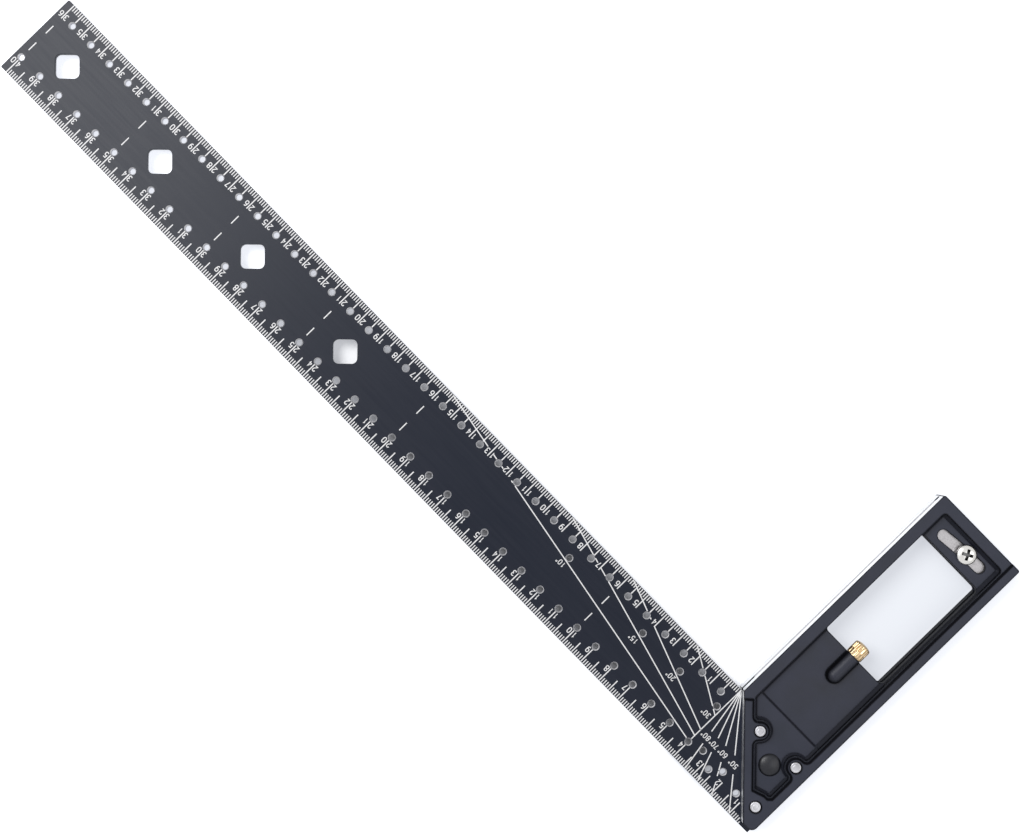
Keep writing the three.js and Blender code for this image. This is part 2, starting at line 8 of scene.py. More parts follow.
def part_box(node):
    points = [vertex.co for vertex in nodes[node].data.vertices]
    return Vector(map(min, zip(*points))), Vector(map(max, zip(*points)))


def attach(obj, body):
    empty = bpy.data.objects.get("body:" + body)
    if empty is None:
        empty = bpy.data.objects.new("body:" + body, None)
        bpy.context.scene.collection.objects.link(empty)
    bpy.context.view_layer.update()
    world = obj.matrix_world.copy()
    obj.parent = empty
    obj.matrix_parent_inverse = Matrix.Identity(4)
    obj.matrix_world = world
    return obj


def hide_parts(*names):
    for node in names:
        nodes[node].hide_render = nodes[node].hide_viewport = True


# A try and mitre square lying on a pale studio floor, seen from straight above.
# Sizes are millimetres of the square's own drawing: `along` runs down the blade from the heel,
# `depth` runs down the stock from the blade's outer edge, and `height` rises from the floor.

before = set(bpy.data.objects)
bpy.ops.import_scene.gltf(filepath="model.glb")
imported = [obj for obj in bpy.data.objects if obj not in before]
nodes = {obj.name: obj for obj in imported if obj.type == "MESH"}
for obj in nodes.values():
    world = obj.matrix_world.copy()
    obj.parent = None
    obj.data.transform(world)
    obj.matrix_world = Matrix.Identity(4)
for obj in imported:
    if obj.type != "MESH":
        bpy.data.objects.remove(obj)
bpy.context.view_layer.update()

MM = 0.001

blade_low, blade_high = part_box("blade")
stock_low, stock_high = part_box("stock")
heel = Vector((blade_low.x, blade_high.y, 0))


def in_drawing(length):
    """A length of the frame as millimetres of the drawing."""
    return length / MM


# Overall sizes, and how far from the heel the stock's mitre crosses the blade's outer edge
blade_length = in_drawing(blade_high.x - blade_low.x)
blade_width = in_drawing(blade_high.y - blade_low.y)
blade_under = in_drawing(blade_low.z)
blade_face = in_drawing(blade_high.z)
stock_width = in_drawing(stock_high.x - stock_low.x)
stock_thickness = in_drawing(stock_high.z - stock_low.z)
mitre_start = 3.5

# Blade: plate and holes
blade_corner = 0.6
blade_edge_ease = 0.12
pencil_hole_radius = 1.5
pencil_hole_bore = 1.15
pencil_hole_sink = 0.35
hole_pitch = 10
outer_row_depth = 8
inner_row_first = 5
inner_row_height = 6
row_end_margin = 2.5
# Back from the scales' zero and in from the outer edge
loose_holes = [(26.5, 7.3), (17.2, 9.4), (12.7, 6.2), (6.3, 9.6)]
# On from the scales' zero and in from the inner edge
angle_holes = [(2, 11), (21.1, 11.8), (41.2, 11.8), (80.8, 11.8)]
square_hole_side = 9.2
square_hole_radius = 2.1
square_hole_from_tip = 17.5
square_hole_pitch = 50
square_hole_count = 4
hole_points = 32
corner_points = 8

# Blade: room for the ledge's eye and neck, hidden in the stock
notch_room = 5.1
notch_left = 3.7
notch_right = 5.5

# Print on the blade
print_thickness = 0.03
print_step = 0.012
print_lap = 0.003
print_layers = 4
print_search = 0.1
least_bend_share = 0.5
tick_width = 0.38
long_tick_width = 0.43
line_width = 0.42
tick_length = 2.2
half_tick_length = 4.9
outer_centimetre_tick = 6.5
inner_half_tick_length = 4.6
inner_centimetre_tick = 7
centimetre = 10
last_outer_mark = 400
last_inner_mark = 360
mitre_print_gap = 0.3
hole_print_gap = 0.1
number_height = 2.5
number_width_share = 0.58
oval_power = 0.7
number_stroke = 0.35
outer_number_depth = 5.3
inner_number_height = 5.6
single_digit_shift = 1.3
tens_shift = -1.2
units_shift = 1.4
label_height = 2.2
label_pitch = 1.6
label_stroke = 0.3
degree_ring = 0.8
degree_shift_share = 0.8
degree_stroke_share = 0.8
degree_points = 10
dash_marks = [100, 200, 250, 300, 350, 400]
dash_spans = [(11.1, 15.1), (20.1, 24.1)]

# Rivets, pivot, screw and scriber
round_points = 64
point_weld = 0.0001
rivet_radius = 2.15
rivet_sink = 0.1
rivet_ease = 0.3
rivet_ring = 1.1
rivet_spots = {
    "blade_rivet_heel": (6, 9.2),
    "blade_rivet_rail": (6, 30.3),
    "blade_rivet_mitre": (25, 30.3),
}
pivot_spot = (12.9, 23.9)
screw_spot = (17.8, 131.95)
scriber_along = 20.1
window_start = 74.8

# Painted light of the floor as it is seen: low under the blade as painted shade, in the window, in the open
# and brightest at the blade's tip
painted_light_under_blade = 0.05
painted_light_in_window = 0.62
open_glow = 0.66
painted_light_at_tip = 0.84
far_start = 195
far_end = 300
# Patches of floor with their own painted light: the middle, then the reach along the blade and down the
# stock
blade_painted_patch = ((217, 18), (185, 10))
stock_painted_patch = ((20, 71), (14, 66))
patch_fade = 11

# Camera of the photograph: its place in metres, its turn, and its lens and sensor in millimetres
camera_place = Vector((-0.0277, 0.02507, 0.60809))
camera_turn = math.radians(225.74)
camera_lens = 56.1
camera_sensor = 36


def place(along, depth, height):
    """A point of the drawing in the frame's metres."""
    return Vector((heel.x + along * MM, heel.y - depth * MM, height * MM))


# Materials

def feed(node, inputs):
    """Each input of a node gets a link from a socket, or a plain value."""
    for key, value in inputs.items():
        if isinstance(value, bpy.types.NodeSocket):
            node.id_data.links.new(value, node.inputs[key])
        else:
            node.inputs[key].default_value = value


class Paint:
    """A node material under construction, with short calls for the nodes it needs."""

    def __init__(self, name):
        self.material = bpy.data.materials.new(name)
        self.material.use_nodes = True
        self.tree = self.material.node_tree
        self.shader = self.tree.nodes["Principled BSDF"]
        self.coordinates = self.node("ShaderNodeTexCoord").outputs["Object"]

    def node(self, kind, inputs=(), **settings):
        """A new node with its settings, and with its inputs fed."""
        made = self.tree.nodes.new(kind)
        for key, value in settings.items():
            setattr(made, key, value)
        feed(made, dict(inputs))
        return made

    def finished(self, **inputs):
        """The material, with the inputs of its own shader fed."""
        feed(self.shader, {key.replace("_", " "): value for key, value in inputs.items()})
        return self.material

    def noise(self, scale, detail=4.0, stretch=(1, 1, 1)):
        """Noise with so many cells to the metre, stretched along the axes."""
        mapping = self.node("ShaderNodeMapping", {"Vector": self.coordinates, "Scale": stretch})
        inputs = {"Vector": mapping.outputs["Vector"], "Scale": scale, "Detail": detail}
        return self.node("ShaderNodeTexNoise", inputs).outputs["Fac"]

    def spread(self, value, low=0, high=1, start=0.3, end=0.7):
        """A value between two others, spread over the middle of a texture's range."""
        inputs = {"Value": value, "From Min": start, "From Max": end, "To Min": low, "To Max": high}
        return self.node("ShaderNodeMapRange", inputs).outputs["Result"]

    def blend(self, share, first, second):
        """A colour between a first, plain or from a socket, and a plain second."""
        if isinstance(first, tuple):
            first = (*first, 1)
        inputs = {"Factor": share, "A": first, "B": (*second, 1)}
        return self.node("ShaderNodeMix", inputs, data_type="RGBA").outputs["Result"]

    def bumped(self, value, height, strength):
        """A bump from a texture, its height in millimetres."""
        inputs = {"Height": value, "Distance": height * MM, "Strength": strength}
        return self.node("ShaderNodeBump", inputs).outputs["Normal"]

    def combined(self, operation, first, second=0):
        """One value or two, put through an operation of arithmetic."""
        return self.node("ShaderNodeMath", {0: first, 1: second}, operation=operation).outputs["Value"]

    def distance(self, value, middle):
        """How far a value lies from a number, to either side."""
        return self.combined("ABSOLUTE", self.combined("SUBTRACT", value, middle))

    def axis(self, vector, name):
        """One coordinate of a place or a direction."""
        return self.node("ShaderNodeSeparateXYZ", {0: vector}).outputs[name]

    def edges(self, radius, sharpness):
        """A mask that is 1 on edges, from how far a rounded normal turns from the true one."""
        bevel = self.node("ShaderNodeBevel", {"Radius": radius * MM}, samples=6)
        true_normal = self.node("ShaderNodeNewGeometry").outputs["True Normal"]
        normals = {0: bevel.outputs["Normal"], 1: true_normal}
        turn = self.node("ShaderNodeVectorMath", normals, operation="DOT_PRODUCT")
        return self.spread(turn.outputs["Value"], 1, 0, start=1 - sharpness, end=1)

    def steep(self, wall, level):
        """A mask that is 1 on walls and 0 on level faces, by how upright the normal is."""
        normal = self.node("ShaderNodeNewGeometry").outputs["Normal"]
        return self.spread(self.distance(self.axis(normal, "Z"), 0), 1, 0, start=wall, end=level)

    def outside(self, middle, half):
        """A mask that is 0 in a box of the drawing and rises to 1 round it."""
        masks = []
        for name, centre, reach in zip("XY", place(*middle, 0), half):
            away = self.distance(self.axis(self.coordinates, name), centre)
            masks.append(self.spread(away, start=reach * MM, end=(reach + patch_fade) * MM))
        return self.combined("MAXIMUM", *masks)


def cast_paint():
    """Satin black paint over a fine-grained casting, with painted shade that makes it near black and dull
    at its edges, in its corners and on its walls, and with wear that is partly a painted highlight along
    rubbed edges.
    """
    paint = Paint("cast_paint")
    grain = paint.noise(1900, detail=3)
    patches = paint.spread(paint.noise(14, detail=2))
    tint = paint.blend(patches, (0.018, 0.022, 0.038), (0.021, 0.023, 0.033))
    base = paint.blend(paint.spread(paint.noise(90)), tint, (0.026, 0.029, 0.047))
    # Painted shade: near black and with little reflection at edges, in corners and on steep walls.
    corners = paint.edges(radius=0.9, sharpness=0.1)
    painted_shade = paint.combined("MAXIMUM", corners, paint.steep(wall=0.55, level=0.97))
    shaded = paint.blend(painted_shade, base, (0.002, 0.002, 0.003))
    # Wear that is partly a painted highlight: paler patches along the edges.
    wear = paint.spread(paint.noise(420), 0, 0.6, start=0.5)
    wear_and_edge_highlight = paint.combined("MULTIPLY", paint.edges(radius=0.12, sharpness=0.35), wear)
    return paint.finished(
        Base_Color=paint.blend(wear_and_edge_highlight, shaded, (0.10, 0.105, 0.12)),
        Roughness=paint.spread(grain, 0.38, 0.52),
        Specular_IOR_Level=paint.spread(painted_shade, 0.3, 0.05, start=0, end=1),
        Normal=paint.bumped(grain, height=0.035, strength=0.5),
    )


def milled_face():
    """Bare aluminium with the fine cross lines of a milling cutter."""
    paint = Paint("milled_face")
    lines = paint.noise(160, detail=2, stretch=(30, 30, 0.7))
    return paint.finished(
        Base_Color=paint.blend(paint.spread(paint.noise(60)), (0.70, 0.71, 0.72), (0.79, 0.80, 0.81)),
        Metallic=1.0,
        Roughness=paint.spread(lines, 0.30, 0.48),
        Normal=paint.bumped(lines, height=0.012, strength=0.6),
    )


def blade_coat():
    """Dark anodised aluminium, its rolling grain along the blade."""
    paint = Paint("blade_coat")
    grain = paint.noise(900, detail=5, stretch=(0.05, 1, 1))
    cloud = paint.spread(paint.noise(22, detail=3))
    base = paint.blend(cloud, (0.003, 0.006, 0.016), (0.006, 0.009, 0.020))
    tint = paint.blend(paint.spread(grain, 0, 0.4), base, (0.011, 0.014, 0.025))
    wear = paint.spread(paint.noise(500), 0.1, 0.8)
    worn = paint.combined("MULTIPLY", paint.edges(radius=0.2, sharpness=0.3), wear)
    return paint.finished(
        Base_Color=paint.blend(worn, tint, (0.16, 0.165, 0.18)),
        Roughness=paint.spread(grain, 0.33, 0.39),
        Specular_IOR_Level=0.22,
        Normal=paint.bumped(grain, height=0.002, strength=0.4),
    )


def scale_print():
    """Pale ink, a little uneven where it took on the coat."""
    paint = Paint("scale_print")
    patches = paint.noise(700)
    return paint.finished(
        Base_Color=paint.blend(paint.spread(patches), (0.72, 0.72, 0.73), (0.86, 0.86, 0.87)),
        Roughness=paint.spread(patches, 0.50, 0.65),
        Specular_IOR_Level=0.3,
        Normal=paint.bumped(patches, height=0.006, strength=0.4),
    )


def bright_metal(name, dark, light, rough, grain_scale, grain_height):
    """Bare metal with fine grain and small stains."""
    paint = Paint(name)
    grain = paint.noise(grain_scale)
    return paint.finished(
        Base_Color=paint.blend(paint.spread(paint.noise(240, detail=5)), dark, light),
        Metallic=1.0,
        Roughness=paint.spread(grain, *rough),
        Normal=paint.bumped(grain, grain_height, strength=0.5),
    )


def speckled_steel():
    """Tumbled steel plate, its surface full of small dents."""
    paint = Paint("speckled_steel")
    dents = paint.node("ShaderNodeTexVoronoi", {"Vector": paint.coordinates, "Scale": 1500})
    speckle = paint.spread(paint.noise(1200), start=0.38, end=0.62)
    return paint.finished(
        Base_Color=paint.blend(speckle, (0.30, 0.29, 0.30), (0.44, 0.43, 0.44)),
        Metallic=1.0,
        Roughness=paint.spread(speckle, 0.34, 0.55),
        Normal=paint.bumped(dents.outputs["Distance"], height=0.02, strength=0.5),
    )


def black_oxide():
    """Blackened steel with a soft sheen, near black and dull on its steep sides as painted shade."""
    paint = Paint("black_oxide")
    grain = paint.noise(1300)
    base = paint.blend(paint.spread(grain), (0.004, 0.005, 0.009), (0.010, 0.011, 0.017))
    # Painted shade: steep sides near black and with little reflection.
    wall = paint.steep(wall=0.55, level=0.9)
    shaded = paint.blend(wall, base, (0.002, 0.002, 0.002))
    wear = paint.spread(paint.noise(600), 0.2, 1)
    worn = paint.combined("MULTIPLY", paint.edges(radius=0.3, sharpness=0.4), wear)
    return paint.finished(
        Base_Color=paint.blend(worn, shaded, (0.05, 0.05, 0.052)),
        Roughness=paint.spread(grain, 0.30, 0.40),
        Specular_IOR_Level=paint.spread(wall, 0.42, 0.03, start=0, end=1),
        Normal=paint.bumped(grain, height=0.008, strength=0.4),
    )


def floor_finish():
    """Pale floor that keeps the shadow; the camera and reflections see it paler through a painted glow,
    which is painted shade under the blade, painted light at the tip, and stands in for the shade in the
    window.
    """
    paint = Paint("studio_floor")
    rays = seen_rays(paint.tree)
    off_stock = paint.outside(*stock_painted_patch)
    # Painted shade under the blade and painted light in the window, as glow seen by the camera and in
    # reflections.
    blade_painted_shade = paint.spread(paint.outside(*blade_painted_patch), painted_light_under_blade, open_glow, 0, 1)
    stock_painted_light = paint.spread(off_stock, painted_light_in_window, open_glow, 0, 1)
    near = paint.combined("MINIMUM", blade_painted_shade, stock_painted_light)
    # Painted light rising towards the blade's tip.
    along = paint.axis(paint.coordinates, "X")
    far = paint.spread(along, start=place(far_start, 0, 0).x, end=place(far_end, 0, 0).x)
    ends = {"Factor": far, "A": near, "B": painted_light_at_tip}
    glow = paint.node("ShaderNodeMix", ends, data_type="FLOAT").outputs["Result"]
    painted_glow = paint.node("ShaderNodeEmission", {"Color": (0.89, 0.92, 1, 1), "Strength": glow})
    none = paint.node("ShaderNodeEmission", {"Strength": 0})
    seen = seen_instead(paint.tree, rays, none, painted_glow)
    both = paint.node("ShaderNodeAddShader", {0: paint.shader.outputs[0], 1: seen})
    feed(paint.tree.nodes["Material Output"], {"Surface": both.outputs[0]})
    pale = paint.blend(paint.spread(paint.noise(3)), (0.86, 0.86, 0.87), (0.87, 0.87, 0.87))
    # Painted light in the window: the camera sees a darker floor colour in the stock's patch, so that the
    # even glow stands in for the real shade there.
    window = paint.combined("MULTIPLY", paint.spread(off_stock, 1, 0, 0, 1), rays)
    colour = paint.blend(window, pale, (0.36, 0.37, 0.38))
    return paint.finished(Base_Color=colour, Roughness=0.9, Specular_IOR_Level=0.0)


def seen_rays(tree):
    """1 for the rays of the camera, of reflections and of glass."""
    path = tree.nodes.new("ShaderNodeLightPath")
    total = path.outputs["Is Camera Ray"]
    for name in ("Is Glossy Ray", "Is Transmission Ray"):
        either = tree.nodes.new("ShaderNodeMath")
        either.operation = "MAXIMUM"
        feed(either, {0: total, 1: path.outputs[name]})
        total = either.outputs["Value"]
    return total


def seen_instead(tree, rays, lighting, seen):
    """One shader for the light that leaves it, and another for the rays that see it."""
    choose = tree.nodes.new("ShaderNodeMixShader")
    feed(choose, {0: rays, 1: lighting.outputs[0], 2: seen.outputs[0]})
    return choose.outputs[0]


paint_black = cast_paint()
metal_milled = milled_face()
coat = blade_coat()
ink = scale_print()
metal_ledge = speckled_steel()
metal_black = black_oxide()

# Dark and light colour, least and most roughness, and the grain's cells to the metre and height
bare_metals = {
    "hole_metal": ((0.42, 0.42, 0.44), (0.58, 0.58, 0.60), (0.32, 0.45), 1100, 0.004),
    "rivet_metal": ((0.34, 0.34, 0.36), (0.54, 0.54, 0.57), (0.30, 0.45), 1100, 0.02),
    "screw_metal": ((0.60, 0.59, 0.57), (0.80, 0.79, 0.77), (0.16, 0.28), 900, 0.006),
    # A dark metal for the inside of the screw's cross, as painted shade.
    "recess_painted_shade": ((0.05, 0.05, 0.05), (0.12, 0.12, 0.12), (0.22, 0.34), 900, 0.006),
    "nut_metal": ((0.50, 0.50, 0.52), (0.66, 0.66, 0.67), (0.28, 0.40), 900, 0.008),
    "needle_metal": ((0.55, 0.56, 0.58), (0.72, 0.72, 0.74), (0.15, 0.25), 1500, 0.003),
    "brass": ((0.40, 0.28, 0.15), (0.64, 0.49, 0.31), (0.22, 0.36), 1400, 0.006),
}
metals = {name: bright_metal(name, *look) for name, look in bare_metals.items()}


# Shared making of pieces

def shown(name, data):
    """An object of the scene made of a mesh, a curve, a light or a camera."""
    made = bpy.data.objects.new(name, data)
    bpy.context.scene.collection.objects.link(made)
    return made


def mesh_of(shape, name):
    """The mesh of a finished shape."""
    mesh = bpy.data.meshes.new(name)
    shape.to_mesh(mesh)
    shape.free()
    return mesh


def piece(name, mesh, materials, body, slot_name, *replaced):
    """A finished piece of the object, riding on its body."""
    made = shown(name, mesh)
    mesh.materials.clear()
    for material in materials:
        mesh.materials.append(material)
    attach(made, body)
    if replaced:
        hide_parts(*replaced)
    return made


def smooth(mesh, angle=35):
    """Smooth shading that keeps corners sharper than the angle."""
    mesh.polygons.foreach_set("use_smooth", [True] * len(mesh.polygons))
    mesh.set_sharp_from_angle(angle=math.radians(angle))
    return mesh


def settled(made):
    """The object's mesh with its modifiers carried out."""
    graph = bpy.context.evaluated_depsgraph_get()
    graph.update()
    return bpy.data.meshes.new_from_object(made.evaluated_get(graph))


def arc(centre, radius, start, end, steps):
    """Points round a centre from one angle to another, in degrees."""
    points = []
    for i in range(steps + 1):
        angle = math.radians(start + (end - start) * i / steps)
        points.append((centre[0] + radius * math.cos(angle), centre[1] + radius * math.sin(angle)))
    return points


def eased(profile, ease, steps=3):
    """A profile whose corners, but for its ends, are rounded by a small arc."""
    points = [profile[0]]
    for before, here, after in zip(profile, profile[1:], profile[2:]):
        corner = Vector(here)
        back = Vector(before) - corner
        on = Vector(after) - corner
        reach = min(ease, back.length / 2, on.length / 2)
        start = corner + back.normalized() * reach
        end = corner + on.normalized() * reach
        for i in range(steps + 1):
            share = i / steps
            first = start.lerp(corner, share)
            second = corner.lerp(end, share)
            points.append(tuple(first.lerp(second, share)))
    points.append(profile[-1])
    return points


def turned_mesh(name, profile, turn, segments=round_points, flutes=None):
    """A mesh turned about its axis from points of radius and height, moved by a matrix.

    A point of radius 0 closes an end. `flutes` works out the radius at a height and an angle.
    """
    shape = bmesh.new()
    rings = []
    for radius, height in profile:
        if radius <= 0:
            rings.append([shape.verts.new((0, 0, height * MM))] * segments)
            continue
        ring = []
        for i in range(segments):
            angle = 2 * math.pi * i / segments
            reach = (flutes(radius, height, angle) if flutes else radius) * MM
            ring.append(shape.verts.new((reach * math.cos(angle), reach * math.sin(angle), height * MM)))
        rings.append(ring)
    for lower, upper in zip(rings, rings[1:]):
        for i in range(segments):
            j = (i + 1) % segments
            corners = list(dict.fromkeys((lower[i], lower[j], upper[j], upper[i])))
            if len(corners) > 2:
                shape.faces.new(corners)
    bmesh.ops.remove_doubles(shape, verts=shape.verts, dist=point_weld * MM)
    bmesh.ops.recalc_face_normals(shape, faces=shape.faces)
    shape.transform(turn)
    return smooth(mesh_of(shape, name))


def turned_piece(name, profile, turn, metal, body, slot_name, node, **turning):
    """A turned piece of one metal, in the place of its plain solid."""
    piece(name, turned_mesh(name, profile, turn, **turning), [metal], body, slot_name, node)


def upright(along, depth):
    """The matrix of a piece turned about an upright axis."""
    return Matrix.Translation(place(along, depth, 0))


# Blade

def pencil_holes():
    """Centres of all round holes, as distances along the blade and in from its outer edge."""
    zero = stock_width
    spots = []
    for start, depth in ((zero, outer_row_depth), (zero + inner_row_first, blade_width - inner_row_height)):
        count = int((blade_length - start - row_end_margin) // hole_pitch) + 1
        spots += [(start + i * hole_pitch, depth) for i in range(count)]
    spots += [(zero - back, depth) for back, depth in loose_holes]
    spots += [(zero + along, blade_width - height) for along, height in angle_holes]
    return spots


hole_centres = [place(along, depth, 0).xy for along, depth in pencil_holes()]


def square_holes():
    """Outlines of the square holes, each standing on a rounded corner."""
    reach = (square_hole_side / 2 - square_hole_radius) * math.sqrt(2)
    outlines = []
    for i in range(square_hole_count):
        along = blade_length - square_hole_from_tip - i * square_hole_pitch
        outline = []
        for turn, x, y in ((180, -1, 0), (270, 0, -1), (0, 1, 0), (90, 0, 1)):
            centre = (along + reach * x, blade_width / 2 + reach * y)
            outline += arc(centre, square_hole_radius, turn - 45, turn + 45, corner_points)
        outlines.append(outline)
    return outlines


def blade_outline():
    """The blade's edge, with the hidden notch in which the ledge's eye and neck turn."""
    along = pivot_spot[0]
    left = math.degrees(math.acos(notch_left / notch_room))
    tip = blade_length - blade_corner
    return [
        (0, 0),
        *arc((tip, blade_corner), blade_corner, 270, 360, corner_points),
        *arc((tip, blade_width - blade_corner), blade_corner, 0, 90, corner_points),
        (along + notch_right, blade_width),
        *arc(pivot_spot, notch_room, 0, left - 180, hole_points),
        (along - notch_left, blade_width),
        (0, blade_width),
    ]


def blade_mesh():
    """The plate with its holes, its faces filled from the flat outline and its edges eased."""
    outlines = [blade_outline(), *square_holes()]
    for spot in pencil_holes():
        outlines.append(arc(spot, pencil_hole_radius - blade_edge_ease, 0, 360, hole_points)[:-1])
    for spot in rivet_spots.values():
        outlines.append(arc(spot, rivet_radius + rivet_sink, 0, 360, hole_points)[:-1])
    curve = bpy.data.curves.new("blade_outline", "CURVE")
    curve.dimensions = "2D"
    curve.fill_mode = "BOTH"
    curve.bevel_depth = blade_edge_ease * MM
    curve.bevel_resolution = 1
    curve.offset = -blade_edge_ease * MM
    curve.extrude = ((blade_face - blade_under) / 2 - blade_edge_ease) * MM
    for outline in outlines:
        spline = curve.splines.new("POLY")
        spline.points.add(len(outline) - 1)
        for point, (along, depth) in zip(spline.points, outline):
            point.co = (along * MM, -depth * MM, 0, 1)
        spline.use_cyclic_u = True
    holder = shown("blade_outline", curve)
    mesh = settled(holder)
    bpy.data.objects.remove(holder)
    mesh.transform(Matrix.Translation(place(0, 0, (blade_face + blade_under) / 2)))
    countersink(mesh)
    return smooth(mesh, angle=30)


def countersink(mesh):
    """The round holes narrow in a small cone below the blade's face."""
    for vertex in mesh.vertices:
        centre = hole_round(vertex.co)
        if centre is None:
            continue
        down = in_drawing(vertex.co.z)
        share = min(1, (blade_face - down) / blade_edge_ease, (down - blade_under) / blade_edge_ease)
        radius = pencil_hole_radius - (pencil_hole_radius - pencil_hole_bore) * share
        vertex.co.xy = centre + (vertex.co.xy - centre).normalized() * radius * MM
        if down > (blade_face + blade_under) / 2:
            vertex.co.z = (blade_face - pencil_hole_sink * share) * MM


def hole_round(point):
    """The centre of the round hole that a point lies in or on, if any."""
    for centre in hole_centres:
        if (point.xy - centre).length < (pencil_hole_radius + blade_edge_ease / 2) * MM:
            return centre
    return None


def make_blade():
    """The coated plate, bare in its holes."""
    mesh = blade_mesh()
    piece("blade_plate", mesh, [coat, metals["hole_metal"]], "square", "blade_coat", "blade")
    for face in mesh.polygons:
        wall = len(face.vertices) == 4
        face.material_index = 1 if wall and hole_round(face.center) else 0


make_blade()


# Print on the blade

class Ink:
    """Flat strokes on the blade's face, cut clear of the holes and of the stock."""

    def __init__(self, level):
        self.shape = bmesh.new()
        self.holes = pencil_holes()
        self.level = level
        self.strokes = 0

    def ribbon(self, points, width, closed=False):
        """A stroke of even width along points of the drawing, mitred at its corners."""
        self.strokes += 1
        line = [Vector((along, -depth)) for along, depth in points]
        count = len(line)
        sides = []
        for i, here in enumerate(line):
            before = line[i - 1] if closed or i > 0 else None
            after = line[(i + 1) % count] if closed or i < count - 1 else None
            sides.append(self.side(before, here, after) * width / 2)
        left = [self.vertex(here + side) for here, side in zip(line, sides)]
        right = [self.vertex(here - side) for here, side in zip(line, sides)]
        for i in range(count if closed else count - 1):
            j = (i + 1) % count
            self.shape.faces.new((right[i], right[j], left[j], left[i]))

    def side(self, before, here, after):
        """The direction across the stroke at a point, longer where the stroke bends."""
        into = (here - before).normalized() if before else (after - here).normalized()
        out = (after - here).normalized() if after else into
        across = Vector((-(into.y + out.y), into.x + out.x)).normalized()
        normal = Vector((-into.y, into.x))
        return across / max(least_bend_share, across.dot(normal))

    def vertex(self, point):
        """A corner of the stroke, which lies a hair over the strokes before it where they cross."""
        height = print_thickness + self.level * print_step + self.strokes % print_layers * print_lap
        return self.shape.verts.new(place(point.x, -point.y, blade_face + height))

    def line(self, start, end, width, gaps=()):
        """A straight stroke, left out at the holes, under the stock and in the gaps along it."""
        first, last = Vector(start), Vector(end)
        length = (last - first).length
        steps = max(2, int(length / print_search))
        kept = []
        for i in range(steps + 1):
            spot = first.lerp(last, i / steps)
            if self.clear(spot, width) and not any(low < spot.x < high for low, high in gaps):
                kept.append(spot)
                continue
            self.stretch(kept, width)
            kept = []
        self.stretch(kept, width)

    def stretch(self, kept, width):
        """One unbroken stretch of a straight stroke."""
        if len(kept) > 1:
            self.ribbon([tuple(kept[0]), tuple(kept[-1])], width)

    def clear(self, spot, width):
        """Whether a point of the blade is free of holes and of the stock's mitre."""
        along, depth = spot
        if along - depth < mitre_start + mitre_print_gap + width / 2:
            return False
        reach = pencil_hole_radius + hole_print_gap
        return all((along - x) ** 2 + (depth - y) ** 2 > reach * reach for x, y in self.holes)

    def figure(self, name, centre, height, stroke):
        """One numeral, its centre at a point of the drawing."""
        width = height * number_width_share
        for points, closed in numerals[name]:
            placed = []
            for across, up in points:
                along = centre[0] + (across - 0.5) * (width - stroke)
                depth = centre[1] - (up - 0.5) * (height - stroke)
                placed.append((along, depth))
            self.ribbon(placed, stroke, closed)

    def number(self, value, centre, shifts, height, stroke):
        """The figures of a number, each shifted along the blade from one centre."""
        along, depth = centre
        for name, shift in zip(str(value), shifts):
            self.figure(name, (along + shift, depth), height, stroke)

    def finished(self, name):
        """The strokes as one thin piece on the blade."""
        made = piece(name, mesh_of(self.shape, name), [ink], "square", "blade_coat")
        thick = made.modifiers.new("thick", "SOLIDIFY")
        thick.thickness = print_thickness * MM
        thick.offset = -1


def oval(centre_up, height, left=0.0, right=1.0, steps=16):
    """A closed loop of a numeral, squarer than an ellipse."""
    points = []
    middle = (left + right) / 2
    for i in range(steps):
        angle = 2 * math.pi * (i + 0.5) / steps
        across, up = math.cos(angle), math.sin(angle)
        across = math.copysign(abs(across) ** oval_power, across)
        up = math.copysign(abs(up) ** oval_power, up)
        points.append((middle + across * (right - left) / 2, centre_up + up * height / 2))
    return points


# Strokes of the numerals in a unit box, each with whether it closes
bowl = [(0.7, 0), (0.25, 0), (0.03, 0.14)]
two = [(0.03, 0.76), (0.15, 0.95), (0.5, 1), (0.85, 0.95), (0.98, 0.75), (0.88, 0.52), (0.02, 0), (1, 0)]
three = [(0.05, 0.86), (0.25, 1), (0.7, 1), (0.95, 0.86), (0.95, 0.66), (0.7, 0.53), (0.4, 0.53)]
five = [(0.92, 1), (0.12, 1), (0.07, 0.55), (0.3, 0.62), (0.7, 0.62), (0.96, 0.48), (0.96, 0.15), *bowl]
six = [(0.85, 0.95), (0.5, 1), (0.2, 0.88), (0.05, 0.6), (0.03, 0.3)]
numerals = {
    "0": [(oval(0.5, 1), True)],
    "1": [([(0.22, 0.78), (0.55, 1), (0.55, 0)], False)],
    "2": [(two, False)],
    "3": [(three, False), ([(0.6, 0.53), (0.95, 0.38), (0.95, 0.14), *bowl], False)],
    "4": [([(0.74, 0), (0.74, 1), (0, 0.3)], False), ([(0, 0.3), (1, 0.3)], False)],
    "5": [(five, False)],
    "6": [(six, False), (oval(0.3, 0.6), True)],
    "7": [([(0.02, 1), (0.98, 1), (0.36, 0)], False)],
    "8": [(oval(0.76, 0.48, 0.08, 0.92), True), (oval(0.27, 0.54), True)],
    "9": [([(1 - across, 1 - up) for across, up in six], False), (oval(0.7, 0.6), True)],
}


def scale_ticks():
    """Both millimetre scales: fine ticks, longer halves and full centimetres."""
    marks = Ink(0)
    for mark in range(1, last_outer_mark + 1):
        length, width = tick_of(mark, half_tick_length, outer_centimetre_tick)
        marks.line((mark, blade_edge_ease), (mark, length), width)
    for mark in range(1, last_inner_mark + 1):
        length, width = tick_of(mark, inner_half_tick_length, inner_centimetre_tick)
        along = stock_width + mark
        marks.line((along, blade_width - blade_edge_ease), (along, blade_width - length), width)
    for mark in dash_marks:
        for low, high in dash_spans:
            marks.line((mark, blade_width - low), (mark, blade_width - high), line_width)
    marks.finished("blade_print_ticks")


